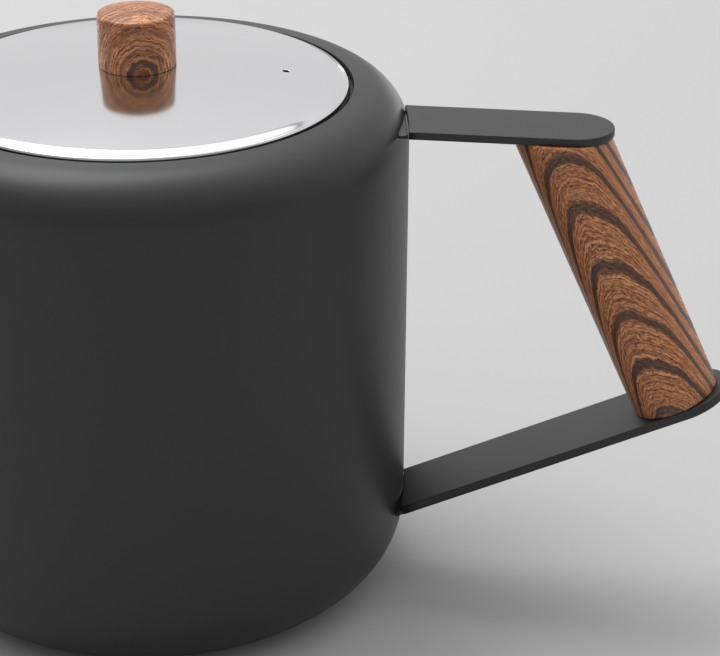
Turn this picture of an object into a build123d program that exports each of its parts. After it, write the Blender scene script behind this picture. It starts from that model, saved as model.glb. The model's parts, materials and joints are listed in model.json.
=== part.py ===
from build123d import *
import os
from math import cos, radians, sin, tan

# Double-walled teapot with a lift-out infuser, a lift-off lid and a strap handle.
# Millimetres. +Z runs up the pot's axis, z = 0 is the table, the handle points along +X
# and the spout along -X.

os.makedirs("parts", exist_ok=True)

# Pot body
body_radius = 68.05  # side, carried up to the corner of the shoulder
side_taper = 0.7  # how much slimmer the side is at the table
shoulder_height = 133.0  # the same corner, before it is rounded
shoulder_width = 14.05  # corner to mouth
shoulder_pitch = 9.1  # degrees, rising towards the mouth
shoulder_round = 12.2
base_round = 20.0
shell_wall = 1.2
rim_round = 0.3
collar_depth = 9.5

# Inner vessel
vessel_wall = 0.8
side_gap = 6.0
floor_gap = 6.8
neck_drop = 2.9  # neck's top edge below the rim
ledge_drop = 5.5  # infuser seat below the rim
ledge_width = 3.8
neck_depth = 5.0
vessel_shoulder_depth = 13.0
sheet_bend = 0.9

# Infuser
infuser_gauge = 0.8
infuser_rim_clearance = 0.5
infuser_fit = 0.45
infuser_collar_depth = 8.0
infuser_depth = 92.0
strainer_gauge = 0.6
strainer_lap = 3.0  # wall welded this far up inside the rim's collar
hole_radius = 1.2
wall_hole_columns = 24
wall_hole_rows = 5
wall_hole_top = 26.0
wall_hole_pitch = 14.0
base_hole_rings = 4
base_hole_pitch = 9.5

# Lid
lid_gap = 1.25
lid_edge_rise = 0.27  # lid's edge above the rim
bevel_width = 3.1
dome_rise = 4.47
dome_bulge = 1.14  # dome's middle above the straight line from pad to crease
lid_gauge = 1.0
skirt_gauge = 0.6
skirt_fit = 0.4
skirt_depth = 7.5
vent_radius = 0.7
vent_distance = 37.0
vent_angle = 8.6

# Knob and its fixings
knob_radius = 9.7
knob_height = 13.5
knob_crown = 0.9
knob_round = 0.8
insert_radius = 3.2
insert_length = 8.0
screw_radius = 2.0
socket_radius = 1.4  # to the corners of the hexagon
thread_clearance = 0.05
thread_runout = 1.0  # hole beyond the end of its screw
hole_clearance = 0.25
head_radius = 3.75
head_height = 2.4
washer_radius = 5.5
washer_gauge = 0.8
pad_margin = 0.8

# Handle
upper_strap_drop = 3.6  # top face below the shoulder's corner
upper_strap_width = 19.4
upper_strap_gauge = 2.1
upper_strap_end = 3.5  # end's centre beyond the grip's axis
lower_strap_width = 22.6
lower_strap_gauge = 2.4
lower_strap_end = 2.6
strap_edge = 0.35
saddle_gauge = 1.3
saddle_lip = 0.5
grip_radius = 11.3
grip_reach = 37.9  # grip's axis beyond the body, under the upper strap
grip_tilt = 24.6  # degrees from upright
strap_root_height = 24.49  # where the line of the lower strap's top meets the corner radius
grip_edge = 0.5
grip_bore_clearance = 0.5
boss_radius = 4.5
boss_length = 14.0
boss_clearance = 0.1
thread_engagement = 8.0

# Spout
spout_angle = 45.0  # degrees above level
spout_root_depth = 23.0  # axis starts this far inside the body
spout_root_height = 50.0
spout_root_radius = 18.5
spout_tip_radius = 7.6
spout_tip_drop = 8.3  # mouth below the rim
spout_wall = 1.2
spout_overrun = 14.0

# Worked-out sizes shared by several pieces
foot_radius = body_radius - side_taper
mouth_radius = body_radius - shoulder_width
shoulder_slope = tan(radians(shoulder_pitch))
rim_height = shoulder_height + shoulder_width * shoulder_slope
seam_height = base_round
collar_top = rim_height - shell_wall / 2
collar_bottom = rim_height - collar_depth
vessel_radius = foot_radius - shell_wall - side_gap
vessel_floor = shell_wall + floor_gap
neck_height = rim_height - neck_drop
neck_radius = mouth_radius - vessel_wall
ledge_height = rim_height - ledge_drop
throat_radius = mouth_radius - ledge_width - vessel_wall
infuser_rim_radius = neck_radius - infuser_rim_clearance
infuser_collar_radius = throat_radius - infuser_fit
infuser_seat = ledge_height + infuser_gauge
strainer_radius = infuser_collar_radius - infuser_gauge
strainer_top = ledge_height - infuser_collar_depth + strainer_lap
strainer_floor = ledge_height - infuser_depth
lid_radius = mouth_radius - lid_gap
lid_edge_height = rim_height + lid_edge_rise
crease_radius = lid_radius - bevel_width
crease_height = lid_edge_height + bevel_width * shoulder_slope
lid_top = crease_height + dome_rise
pad_radius = knob_radius + pad_margin
crown_halfway = knob_crown * 3 / 4  # height of the crown's arc halfway out
skirt_radius = strainer_radius - strainer_gauge - skirt_fit
skirt_seat = infuser_seat + skirt_gauge
upper_strap_top = shoulder_height - upper_strap_drop
upper_strap_under = upper_strap_top - upper_strap_gauge
saddle_blank = 2 * shoulder_width  # block from which a saddle is cut
grip_x = body_radius + grip_reach
tilt = radians(grip_tilt)
grip_length = (upper_strap_under - strap_root_height - grip_reach * tan(tilt)) * cos(tilt)
grip_foot_x = grip_x + grip_length * sin(tilt)
grip_foot_z = upper_strap_under - grip_length * cos(tilt)
spout_root_x = spout_root_depth - body_radius
spout_top = rim_height - spout_tip_drop
spout_length = (spout_top - spout_root_height) / sin(radians(spout_angle)) + spout_overrun

# Working planes
grip_plane = Plane(
    origin=(grip_x, 0, upper_strap_under), x_dir=(cos(tilt), 0, sin(tilt)), z_dir=(sin(tilt), 0, -cos(tilt))
)
strap_plane = Plane(
    origin=(grip_foot_x, 0, grip_foot_z), x_dir=(cos(tilt), 0, sin(tilt)), z_dir=(sin(tilt), 0, -cos(tilt))
)
spout_plane = Plane(
    origin=(spout_root_x, 0, spout_root_height),
    x_dir=(0, 1, 0),
    z_dir=(-cos(radians(spout_angle)), 0, sin(radians(spout_angle))),
)


def pot_section(growth):
    """Right half of the pot's closed outline, moved outward by growth."""
    corners = [(foot_radius, 0), (body_radius, shoulder_height), (mouth_radius, rim_height)]
    mirrored = [(-x, z) for x, z in reversed(corners)]
    with BuildSketch(Plane.XZ) as section:
        with BuildLine():
            Polyline(*corners, *mirrored, close=True)
        make_face()
        fillet(section.vertices().group_by(Axis.Y)[1], shoulder_round)
        fillet(section.vertices().group_by(Axis.Y)[0], base_round)
        if growth:
            offset(amount=growth)
        split(bisect_by=Plane.YZ)
    return section.sketch


def sheet_section(points, gauge, side):
    """Cross-section of sheet metal whose one face follows the bent line through the points."""
    with BuildSketch(Plane.XZ) as section:
        with BuildLine():
            FilletPolyline(*points, radius=sheet_bend)
            offset(amount=gauge, side=side)
        make_face()
    return section.sketch


def ring_section(inner, outer, bottom, top):
    """Rectangular cross-section of a ring about the pot's axis."""
    with BuildSketch(Plane.XZ) as section:
        with Locations(((inner + outer) / 2, (bottom + top) / 2)):
            Rectangle(outer - inner, top - bottom)
    return section.sketch


def pot_envelope(growth):
    """Solid of the pot's closed outline, moved outward by growth."""
    with BuildPart() as envelope:
        add(pot_section(growth))
        revolve(axis=Axis.Z)
    return envelope.part


def strap_blank(plane, start, end, width, gauge):
    """Flat bar along the plane's x from start to a round end centred at end, as thick as gauge."""
    with BuildPart() as blank:
        with BuildSketch(plane):
            with Locations(((start + end) / 2, 0)):
                Rectangle(end - start, width)
            with Locations((end, 0)):
                Circle(width / 2)
        extrude(amount=gauge)
    return blank.part


def spout_cone(inset):
    """Solid cone along the spout, with its side moved inward by inset."""
    with BuildPart() as cone:
        with BuildSketch(spout_plane):
            Circle(spout_root_radius - inset)
        with BuildSketch(spout_plane.offset(spout_length)):
            Circle(spout_tip_radius - inset)
        loft()
    return cone.part


pot_solid = pot_envelope(0)
pot_grown = pot_envelope(saddle_gauge)
spout_solid = spout_cone(0)
spout_bore = spout_cone(spout_wall)


# Outer shell: side and shoulder in one drawn sheet, with its mouth turned down into a collar
with BuildPart() as outer_shell:
    with BuildSketch(Plane.XZ):
        add(pot_section(0))
        add(pot_section(-shell_wall), mode=Mode.SUBTRACT)
        with Locations((mouth_radius + shell_wall / 2, (collar_bottom + collar_top) / 2)):
            Rectangle(shell_wall, collar_top - collar_bottom)
        with Locations((mouth_radius / 2, rim_height / 2)):
            Rectangle(mouth_radius, 2 * rim_height, mode=Mode.SUBTRACT)
        with Locations((0, seam_height / 2)):
            Rectangle(4 * body_radius, seam_height, mode=Mode.SUBTRACT)
    revolve(axis=Axis.Z)
    fillet(outer_shell.edges().group_by(Axis.Z)[-1], rim_round)
    add(spout_solid, mode=Mode.SUBTRACT)
outer_shell.part.label = "outer_shell"
export_step(outer_shell.part, "parts/outer_shell.step")

# Base pan: flat foot and rounded corner, butted to the shell at the seam
with BuildPart() as base_pan:
    with BuildSketch(Plane.XZ):
        add(pot_section(0))
        add(pot_section(-shell_wall), mode=Mode.SUBTRACT)
        with Locations((0, seam_height + rim_height)):
            Rectangle(4 * body_radius, 2 * rim_height, mode=Mode.SUBTRACT)
    revolve(axis=Axis.Z)
base_pan.part.label = "base_pan"
export_step(base_pan.part, "parts/base_pan.step")

# Inner vessel: neck inside the collar, ledge for the infuser, shoulder, side and floor
vessel_points = [
    (mouth_radius, neck_height),
    (mouth_radius, ledge_height - vessel_wall),
    (throat_radius + vessel_wall, ledge_height - vessel_wall),
    (throat_radius + vessel_wall, ledge_height - neck_depth),
    (vessel_radius, ledge_height - vessel_shoulder_depth),
    (vessel_radius, vessel_floor),
    (0, vessel_floor),
]
with BuildPart() as inner_vessel:
    add(sheet_section(vessel_points, vessel_wall, Side.RIGHT))
    revolve(axis=Axis.Z)
    add(spout_bore, mode=Mode.SUBTRACT)
inner_vessel.part.label = "inner_vessel"
export_step(inner_vessel.part, "parts/inner_vessel.step")

# Spout: tapered tube from the inner vessel out through the shell, with a level mouth
with BuildPart() as vessel_core:
    with BuildSketch():
        Circle(vessel_radius)
    extrude(amount=rim_height)
with BuildPart() as spout:
    add(spout_solid)
    add(spout_bore, mode=Mode.SUBTRACT)
    add(vessel_core.part, mode=Mode.SUBTRACT)
    split(bisect_by=Plane.XY.offset(spout_top), keep=Keep.BOTTOM)
spout.part.label = "spout"
export_step(spout.part, "parts/spout.step")

# Upper strap: level bar, cut to sit on its saddle
with BuildPart() as upper_strap:
    upper_plane = Plane.XY.offset(upper_strap_under)
    strap_reach = grip_x + upper_strap_end
    add(strap_blank(upper_plane, mouth_radius, strap_reach, upper_strap_width, upper_strap_gauge))
    outline_faces = upper_strap.faces().sort_by(Axis.Z)
    fillet(outline_faces[0].edges() + outline_faces[-1].edges(), strap_edge)
    add(pot_grown, mode=Mode.SUBTRACT)
upper_strap.part.label = "upper_strap"
export_step(upper_strap.part, "parts/upper_strap.step")

# Upper saddle: curved pad between the shell and the upper strap
with BuildPart() as upper_saddle:
    with BuildSketch(Plane.XY.offset(upper_strap_under - saddle_lip)):
        with Locations((body_radius, 0)):
            Rectangle(saddle_blank, upper_strap_width + 2 * saddle_lip)
    extrude(amount=upper_strap_gauge + 2 * saddle_lip)
    add(pot_grown, mode=Mode.INTERSECT)
    add(pot_solid, mode=Mode.SUBTRACT)
upper_saddle.part.label = "upper_saddle"
export_step(upper_saddle.part, "parts/upper_saddle.step")

# Lower strap: bar at right angles to the grip, sloping down to its saddle
strap_run = (grip_foot_x - mouth_radius) / cos(tilt)
with BuildPart() as lower_strap:
    add(strap_blank(strap_plane, -strap_run, lower_strap_end, lower_strap_width, lower_strap_gauge))
    bar_faces = lower_strap.faces().sort_by(Axis((0, 0, 0), strap_plane.z_dir))
    fillet(bar_faces[0].edges() + bar_faces[-1].edges(), strap_edge)
    add(pot_grown, mode=Mode.SUBTRACT)
    with BuildSketch(strap_plane):
        Circle(screw_radius + hole_clearance)
    extrude(amount=lower_strap_gauge, mode=Mode.SUBTRACT)
lower_strap.part.label = "lower_strap"
export_step(lower_strap.part, "parts/lower_strap.step")

# Lower saddle: curved pad between the shell and the lower strap
with BuildPart() as lower_saddle:
    with BuildSketch(strap_plane.offset(-saddle_lip)):
        with Locations((-strap_run, 0)):
            Rectangle(2 * saddle_blank, lower_strap_width + 2 * saddle_lip)
    extrude(amount=lower_strap_gauge + 2 * saddle_lip)
    add(pot_grown, mode=Mode.INTERSECT)
    add(pot_solid, mode=Mode.SUBTRACT)
lower_saddle.part.label = "lower_saddle"
export_step(lower_saddle.part, "parts/lower_saddle.step")

# Grip: wooden rod, top cut level under the upper strap, foot square on the lower strap
with BuildPart() as grip:
    with BuildSketch(grip_plane.offset(-grip_radius)):
        Circle(grip_radius)
    extrude(amount=grip_length + grip_radius)
    foot_edge = grip.edges().sort_by(Axis(grip_plane.origin, grip_plane.z_dir))[-1]
    fillet(foot_edge, grip_edge)
    with BuildSketch(grip_plane.offset(-grip_radius)):
        Circle(screw_radius + grip_bore_clearance)
    extrude(amount=grip_length + grip_radius, mode=Mode.SUBTRACT)
    with BuildSketch(grip_plane.offset(-grip_radius)):
        Circle(boss_radius + boss_clearance)
    extrude(amount=boss_length + boss_clearance + grip_radius, mode=Mode.SUBTRACT)
    split(bisect_by=Plane.XY.offset(upper_strap_under), keep=Keep.BOTTOM)
grip.part.label = "grip"
export_step(grip.part, "parts/grip.step")

# Grip boss: threaded post welded under the upper strap, in the top of the grip
with BuildPart() as grip_boss:
    with BuildSketch(grip_plane.offset(-boss_radius)):
        Circle(boss_radius)
    extrude(amount=boss_length + boss_radius)
    with BuildSketch(grip_plane.offset(boss_length - thread_engagement - thread_runout)):
        Circle(screw_radius + thread_clearance)
    extrude(amount=thread_engagement + thread_runout, mode=Mode.SUBTRACT)
    split(bisect_by=Plane.XY.offset(upper_strap_under), keep=Keep.BOTTOM)
grip_boss.part.label = "grip_boss"
export_step(grip_boss.part, "parts/grip_boss.step")

# Tie screw: runs up through the lower strap and the grip into the boss
head_seat = grip_length + lower_strap_gauge + washer_gauge
screw_tip = boss_length - thread_engagement
with BuildPart() as tie_screw:
    with BuildSketch(grip_plane.offset(screw_tip)):
        Circle(screw_radius)
    extrude(amount=head_seat - screw_tip)
    with BuildSketch(grip_plane.offset(head_seat)):
        Circle(head_radius)
    extrude(amount=head_height)
    head_edge = tie_screw.edges().sort_by(Axis(grip_plane.origin, grip_plane.z_dir))[-1]
    fillet(head_edge, head_height / 2)
    with BuildSketch(grip_plane.offset(head_seat + head_height)):
        RegularPolygon(socket_radius, 6)
    extrude(amount=-head_height / 2, mode=Mode.SUBTRACT)
tie_screw.part.label = "tie_screw"
export_step(tie_screw.part, "parts/tie_screw.step")

# Tie washer: under the lower strap
with BuildPart() as tie_washer:
    with BuildSketch(grip_plane.offset(grip_length + lower_strap_gauge)):
        Circle(washer_radius)
        Circle(screw_radius + hole_clearance, mode=Mode.SUBTRACT)
    extrude(amount=washer_gauge)
tie_washer.part.label = "tie_washer"
export_step(tie_washer.part, "parts/tie_washer.step")

# Infuser rim: flange on the vessel's ledge, with a collar down into the throat
rim_points = [
    (infuser_rim_radius, ledge_height),
    (infuser_collar_radius, ledge_height),
    (infuser_collar_radius, ledge_height - infuser_collar_depth),
]
with BuildPart() as infuser_rim:
    add(sheet_section(rim_points, infuser_gauge, Side.RIGHT))
    revolve(axis=Axis.Z)
infuser_rim.part.label = "infuser_rim"
export_step(infuser_rim.part, "parts/infuser_rim.step")

# Infuser wall: perforated sleeve welded inside the rim's collar
with BuildPart() as infuser_wall:
    add(ring_section(strainer_radius - strainer_gauge, strainer_radius, strainer_floor, strainer_top))
    revolve(axis=Axis.Z)
    for row in range(wall_hole_rows):
        hole_z = ledge_height - wall_hole_top - row * wall_hole_pitch
        with BuildSketch(Plane.YZ.offset(strainer_radius - 2 * strainer_gauge)):
            with Locations((0, hole_z)):
                Circle(hole_radius)
    wall_hole = extrude(amount=3 * strainer_gauge, mode=Mode.PRIVATE)
    for turn in range(wall_hole_columns):
        add(wall_hole.rotate(Axis.Z, turn * 360 / wall_hole_columns), mode=Mode.SUBTRACT)
infuser_wall.part.label = "infuser_wall"
export_step(infuser_wall.part, "parts/infuser_wall.step")

# Infuser base: perforated disc inside the foot of the sleeve
with BuildPart() as infuser_base:
    with BuildSketch(Plane.XY.offset(strainer_floor)):
        Circle(strainer_radius - strainer_gauge)
        for ring in range(1, base_hole_rings + 1):
            with PolarLocations(ring * base_hole_pitch, 6 * ring):
                Circle(hole_radius, mode=Mode.SUBTRACT)
    extrude(amount=strainer_gauge)
infuser_base.part.label = "infuser_base"
export_step(infuser_base.part, "parts/infuser_base.step")

# Lid plate: flat pad, shallow dome, crease, bevel in line with the shoulder, turned-down edge
with BuildPart() as lid_plate:
    with BuildSketch(Plane.XZ):
        with BuildLine():
            Line((0, lid_top), (pad_radius, lid_top))
            ThreePointArc(
                (pad_radius, lid_top),
                ((pad_radius + crease_radius) / 2, (lid_top + crease_height) / 2 + dome_bulge),
                (crease_radius, crease_height),
            )
            Polyline((crease_radius, crease_height), (lid_radius, lid_edge_height), (lid_radius, skirt_seat))
            Polyline((lid_radius, skirt_seat), (lid_radius - lid_gauge, skirt_seat))
            Polyline(
                (lid_radius - lid_gauge, skirt_seat),
                (lid_radius - lid_gauge, lid_edge_height - lid_gauge),
                (crease_radius, crease_height - lid_gauge),
            )
            ThreePointArc(
                (crease_radius, crease_height - lid_gauge),
                ((pad_radius + crease_radius) / 2, (lid_top + crease_height) / 2 + dome_bulge - lid_gauge),
                (pad_radius, lid_top - lid_gauge),
            )
            Polyline((pad_radius, lid_top - lid_gauge), (0, lid_top - lid_gauge), (0, lid_top))
        make_face()
    revolve(axis=Axis.Z)
    with BuildSketch(Plane.XY.offset(skirt_seat)):
        Circle(screw_radius + hole_clearance)
        with PolarLocations(vent_distance, 1, start_angle=vent_angle):
            Circle(vent_radius)
    extrude(amount=lid_top - skirt_seat, mode=Mode.SUBTRACT)
lid_plate.part.label = "lid_plate"
export_step(lid_plate.part, "parts/lid_plate.step")

# Lid skirt: flange under the lid's edge, resting on the infuser, and a sleeve into its collar
skirt_points = [
    (lid_radius, infuser_seat),
    (skirt_radius, infuser_seat),
    (skirt_radius, infuser_seat - skirt_depth),
]
with BuildPart() as lid_skirt:
    add(sheet_section(skirt_points, skirt_gauge, Side.RIGHT))
    revolve(axis=Axis.Z)
lid_skirt.part.label = "lid_skirt"
export_step(lid_skirt.part, "parts/lid_skirt.step")

# Knob: short wooden cylinder with a crowned top, bored from below for its insert
with BuildPart() as knob:
    with BuildSketch(Plane.XZ):
        with BuildLine():
            Polyline((0, lid_top), (knob_radius, lid_top), (knob_radius, lid_top + knob_height))
            ThreePointArc(
                (knob_radius, lid_top + knob_height),
                (knob_radius / 2, lid_top + knob_height + crown_halfway),
                (0, lid_top + knob_height + knob_crown),
            )
            Line((0, lid_top + knob_height + knob_crown), (0, lid_top))
        make_face()
    revolve(axis=Axis.Z)
    knob_brow = lid_top + knob_height
    fillet(knob.edges().filter_by_position(Axis.Z, knob_brow - 0.01, knob_brow + 0.01), knob_round)
    with BuildSketch(Plane.XY.offset(lid_top)):
        Circle(insert_radius)
    extrude(amount=insert_length, mode=Mode.SUBTRACT)
knob.part.label = "knob"
export_step(knob.part, "parts/knob.step")

# Knob insert: threaded brass sleeve pressed into the knob
with BuildPart() as knob_insert:
    with BuildSketch(Plane.XY.offset(lid_top)):
        Circle(insert_radius)
        Circle(screw_radius + thread_clearance, mode=Mode.SUBTRACT)
    extrude(amount=insert_length)
knob_insert.part.label = "knob_insert"
export_step(knob_insert.part, "parts/knob_insert.step")

# Knob washer: against the underside of the lid's pad
washer_top = lid_top - lid_gauge
with BuildPart() as knob_washer:
    with BuildSketch(Plane.XY.offset(washer_top - washer_gauge)):
        Circle(washer_radius)
        Circle(screw_radius + hole_clearance, mode=Mode.SUBTRACT)
    extrude(amount=washer_gauge)
knob_washer.part.label = "knob_washer"
export_step(knob_washer.part, "parts/knob_washer.step")

# Knob screw: up through the washer and the lid into the insert
knob_head_top = washer_top - washer_gauge
with BuildPart() as knob_screw:
    with BuildSketch(Plane.XY.offset(knob_head_top)):
        Circle(screw_radius)
    extrude(amount=lid_top + insert_length - thread_runout - knob_head_top)
    with BuildSketch(Plane.XY.offset(knob_head_top - head_height)):
        Circle(head_radius)
    extrude(amount=head_height)
    fillet(knob_screw.edges().sort_by(Axis.Z)[0], head_height / 2)
    with BuildSketch(Plane.XY.offset(knob_head_top - head_height)):
        RegularPolygon(socket_radius, 6)
    extrude(amount=head_height / 2, mode=Mode.SUBTRACT)
knob_screw.part.label = "knob_screw"
export_step(knob_screw.part, "parts/knob_screw.step")
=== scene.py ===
import json
from math import cos, pi, radians, sin, tan

import bmesh
import bpy
import numpy as np
from bpy.props import FloatProperty, FloatVectorProperty, IntProperty, PointerProperty
from mathutils import Matrix, Vector


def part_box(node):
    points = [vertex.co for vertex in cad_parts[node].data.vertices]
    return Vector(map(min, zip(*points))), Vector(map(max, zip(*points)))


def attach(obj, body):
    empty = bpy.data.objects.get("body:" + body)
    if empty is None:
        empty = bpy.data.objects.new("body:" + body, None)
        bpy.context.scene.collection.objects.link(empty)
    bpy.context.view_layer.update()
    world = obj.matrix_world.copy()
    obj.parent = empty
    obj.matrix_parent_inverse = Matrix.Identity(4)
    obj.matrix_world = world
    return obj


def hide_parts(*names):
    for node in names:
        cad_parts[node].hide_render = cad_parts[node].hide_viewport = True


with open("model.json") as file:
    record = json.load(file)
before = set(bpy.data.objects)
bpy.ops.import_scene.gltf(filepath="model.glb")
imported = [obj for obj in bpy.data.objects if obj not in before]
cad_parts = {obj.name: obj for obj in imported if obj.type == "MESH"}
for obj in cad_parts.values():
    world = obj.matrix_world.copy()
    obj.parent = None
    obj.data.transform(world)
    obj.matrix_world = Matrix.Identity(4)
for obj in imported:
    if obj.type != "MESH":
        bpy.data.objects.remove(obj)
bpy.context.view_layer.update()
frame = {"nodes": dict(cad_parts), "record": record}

bl_info = {
    "name": "Strap-Handle Teapot",
    "version": (1, 0, 0),
    "blender": (4, 5, 0),
    "location": "3D View > Sidebar > Teapot",
    "description": "Builds the skins, wood and finishes of a double-walled teapot round its frame",
    "category": "Object",
}

MM = 0.001
# Brightness of the studio round the pot, by height: 0.5 is the horizon and 1 is straight overhead
SKY = (
    (0.49, 0.60),
    (0.53, 0.80),
    (0.66, 0.81),
    (0.72, 0.84),
    (0.80, 0.92),
    (0.828, 0.97),
    (0.835, 0.20),
    (0.845, 0.20),
    (0.853, 1.4),
    (1.0, 1.4),
)
# The studio's front is dimmed to this share, from the first to the second of these places along Y
FRONT_SHARE = 0.46
FRONT_FADE = (-0.35, 0.2)
# Soft lights: name, place, target, width, height, power
LIGHTS = (
    ("key", (-0.4, 0.35, 1.2), (0.0, 0.0, 0.1), 0.9, 0.7, 9.0),
    ("right rim", (0.32, 0.95, 0.062), (0.02, 0.0, 0.06), 0.5, 0.11, 0.6),
    ("left rim", (-0.66, 0.75, 0.11), (0.02, 0.0, 0.08), 0.45, 0.16, 1.4),
)
CAMERA_PLACE = (0.1243, -0.5431, 0.33005)
CAMERA_TURN, CAMERA_DIP, CAMERA_ROLL = 0.125, 0.442, 0.002
CAMERA_LENS = 116.67
# How often an interval is halved in the search for a point on the spout
HALVINGS = 40
# Heart of the knob's knot in the knob's own millimetres, and the radii of the dark ring round it
KNOT_HEART = (3.3, 8.8, 0.6)
KNOT_RING = (3.0, 4.0)


# ---------------------------------------------------------------- sizes and finishes


def length(name, description, millimetres):
    """A length property whose default is given in millimetres."""
    return FloatProperty(
        name=name, description=description, default=millimetres * MM, unit="LENGTH", precision=5
    )


def lean(name, description, degrees):
    """An angle property whose default is given in degrees."""
    return FloatProperty(name=name, description=description, default=radians(degrees), subtype="ANGLE")


def share(name, description, default):
    """A property without a unit, from 0 to 1."""
    return FloatProperty(
        name=name, description=description, default=default, subtype="FACTOR", min=0, max=1
    )


def tint(name, description, colour):
    """A linear colour property."""
    return FloatVectorProperty(
        name=name, description=description, default=colour, size=3, subtype="COLOR", min=0, max=1
    )


class TeapotPotSizes(bpy.types.PropertyGroup):
    """Sizes of the pot's skin and spout that the frame doesn't give"""

    wall: length("Wall", "Thickness of the outer sheet", 1.2)
    taper: length("Side taper", "How much slimmer the side is at the table than at the shoulder", 0.7)
    base_round: length("Base round", "Radius between the side and the foot", 20.0)
    shoulder_height: length("Shoulder height", "Height of the shoulder's corner before rounding", 133.0)
    shoulder_width: length("Shoulder width", "From the side's corner in to the mouth", 14.05)
    shoulder_round: length("Shoulder round", "Radius between the side and the shoulder", 12.2)
    rim_round: length("Rim round", "Radius where the shoulder turns down into the mouth", 0.3)
    collar_depth: length("Collar depth", "How far the mouth is turned down", 9.5)
    lip_depth: length("Lip depth", "How far below the rim the lip over the vessel's neck lies", 2.4)
    lip_width: length("Lip width", "How far that lip stands in from the mouth", 1.0)
    lip_gauge: length("Lip gauge", "Thickness of that lip", 0.45)
    spout_root_depth: length("Spout start", "How far inside the side the spout's axis starts", 23.0)
    spout_root_height: length("Spout start height", "Height of the spout axis's start", 50.0)
    spout_root_radius: length("Spout root radius", "Radius of the spout at its start", 18.5)
    spout_tip_radius: length("Spout tip radius", "Radius of the cone beyond the mouth", 7.6)
    spout_overrun: length("Spout overrun", "Length of the cone beyond the level mouth", 14.0)
    spout_angle: lean("Spout angle", "Rise of the spout", 45)
    weld: length("Weld fillet", "Reach of the smooth weld round the spout's root", 2.2)
    segments: IntProperty(name="Segments", description="Facets round the pot", default=288, min=64)


class TeapotLidSizes(bpy.types.PropertyGroup):
    """Sizes of the lid and its knob"""

    gauge: length("Lid gauge", "Sheet thickness of the lid", 1.0)
    bevel: length("Edge roll width", "Width of the band that rolls over at the lid's edge", 3.1)
    edge_drop: length("Edge roll drop", "How far that band falls", 1.0)
    edge_round: length("Edge round", "Radius at the lid's outer edge", 0.8)
    dome_rise: length("Dome rise", "Rise from the crease to the knob's pad", 3.85)
    pad: length("Pad radius", "Flat pad under the knob", 10.5)
    vent_distance: length("Vent distance", "Vent hole to the lid's centre", 37.0)
    vent_radius: length("Vent radius", "Radius of the vent hole", 0.9)
    vent_angle: lean("Vent angle", "How far round the lid the vent lies", 8.6)
    knob_round: length("Knob round", "Rounding of the knob's brow", 0.8)
    knob_foot_round: length("Knob foot round", "Rounding of the knob's lower edge", 0.35)
    knob_crown: length("Knob crown", "Rise of the knob's top", 0.9)
    dome_lean: share("Dome lean", "Share of the dome's fall that is straight", 0.42)


class TeapotHandleSizes(bpy.types.PropertyGroup):
    """Sizes of the straps, their pads and the grip"""

    tilt: lean("Grip tilt", "Lean of the grip", 24.6)
    upper_gauge: length("Upper strap gauge", "Thickness of the upper strap", 2.1)
    lower_gauge: length("Lower strap gauge", "Thickness of the lower strap", 2.4)
    strap_edge: length("Strap edge", "Rounding of the straps' edges", 0.35)
    heel_front: length("Upper heel, front", "Front corner of the upper heel, out from the shell", 2.35)
    heel_back: length("Upper heel, back", "Back corner of the upper heel, out from the shell", -0.6)
    heel_bulge: length("Heel bulge", "How far the middle of a heel is hollowed along the shell's curve", 0.3)
    lower_heel_front: length("Lower heel, front", "Front corner of the lower heel, out from the shell", 0.6)
    lower_heel_back: length("Lower heel, back", "Back corner of the lower heel, out from the shell", -1.4)
    saddle_gauge: length("Saddle gauge", "Thickness of the pads between straps and shell", 1.3)
    saddle_sink: length("Saddle sink", "How far the pads' backs lie inside the shell's surface", 1.2)
    seam: length("Seam", "Open line between a strap's heel and its pad", 0.15)
    saddle_inset: length("Saddle inset", "How far the pads lie under the straps' top", 1.0)
    saddle_side: length("Saddle side", "How far the pads lie inside the straps' sides", 0.4)
    saddle_thin: share("Saddle thinning", "Share of a pad's gauge that is left at the shell", 0.35)
    grip_edge: length("Grip edge", "Rounding at the foot of the grip", 0.5)


class TeapotFinishes(bpy.types.PropertyGroup):
    """Base colours of the materials"""

    coat: tint("Powder coat", "Matte black coat", (0.011, 0.011, 0.0112))
    steel: tint("Steel", "Polished and satin steel", (0.86, 0.86, 0.87))
    brass: tint("Brass", "Turned brass", (0.72, 0.5, 0.2))
    wood_pale: tint("Pale wood", "Open grain between the dark bands", (0.90, 0.42, 0.175))
    wood_warm: tint("Warm wood", "Body of the grain", (0.52, 0.165, 0.058))
    wood_brown: tint("Brown wood", "Fine late lines", (0.125, 0.030, 0.012))
    wood_dark: tint("Dark wood", "Broad blackish bands", (0.036, 0.024, 0.024))
    floor: tint("Floor", "Pale studio floor", (0.50, 0.50, 0.497))


# ---------------------------------------------------------------- surfaces


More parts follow.
